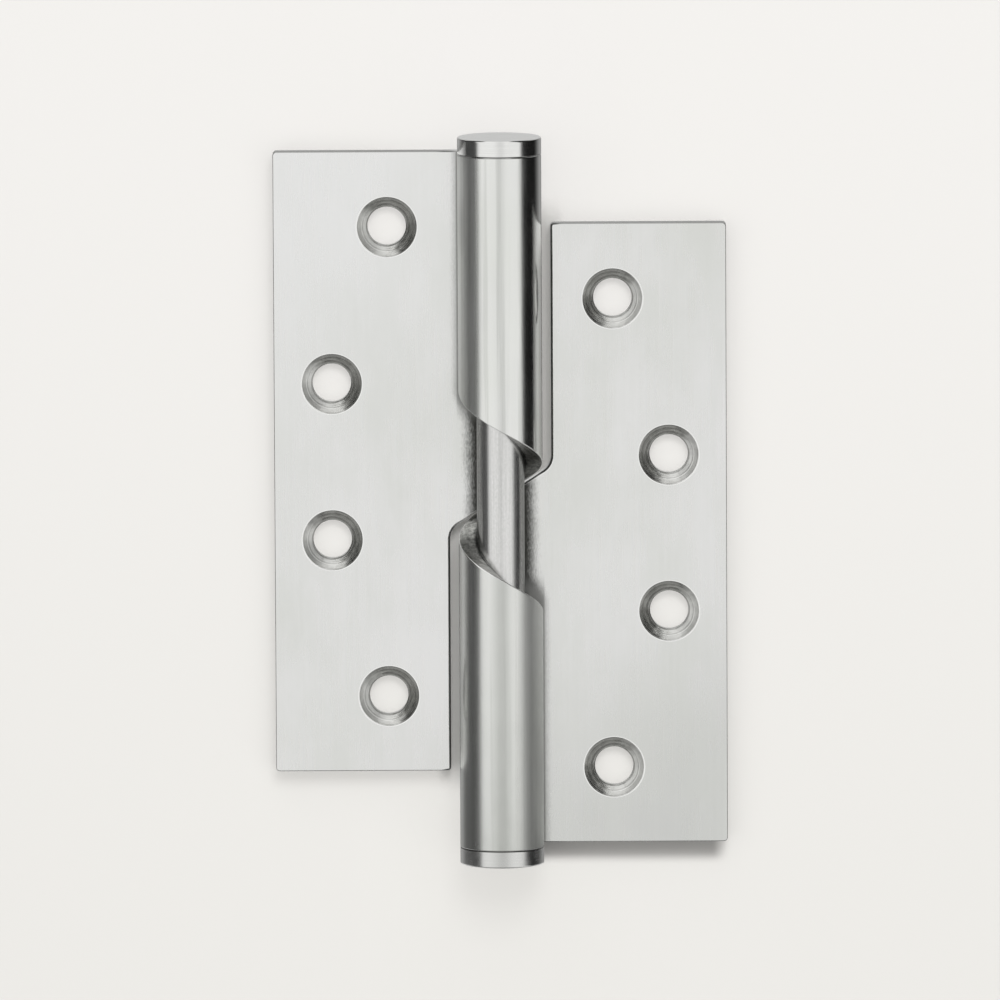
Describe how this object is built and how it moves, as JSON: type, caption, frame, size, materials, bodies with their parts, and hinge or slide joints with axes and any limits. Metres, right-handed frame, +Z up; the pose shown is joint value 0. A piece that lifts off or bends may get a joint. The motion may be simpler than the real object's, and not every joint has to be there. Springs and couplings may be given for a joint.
{
  "type": "rising butt hinge",
  "caption": "Rising butt hinge of satin steel, opened flat: rolled leaves with countersunk screw holes turn on one pin, and helicoidal knuckle ends lift the door leaf.",
  "frame": {"origin": "on the pin's axis, half way up the opened hinge, at the centre of its box", "axes": "+Z up the pin, +X across the frame leaf, -Y towards the viewer and the countersinks"},
  "size_m": [0.0738, 0.0137, 0.1194],
  "materials": {
    "satin_sheet": "satin, brushed along the pin",
    "ground_pin": "ground",
    "turned_cap": "turned and polished"
  },
  "bodies": {
    "frame_side": {"frame_leaf": "satin_sheet", "bottom_cap": "turned_cap"},
    "pin": {"hinge_pin": "ground_pin"},
    "door_side": {"door_leaf": "satin_sheet", "top_cap": "turned_cap"}
  },
  "joints": [
    {"name": "door_swing", "type": "hinge", "parent": "frame_side", "child": "pin", "pos_m": [0, 0, 0], "axis": [0, 0, 1], "range_deg": [0, 180]},
    {"name": "door_rise", "type": "slide", "parent": "pin", "child": "door_side", "axis": [0, 0, 1], "range_m": [-0.0119, 0]}
  ],
  "couplings": [
    {"joint": "door_rise", "follows": "door_swing", "m_per_rad": -0.0037878}
  ]
}
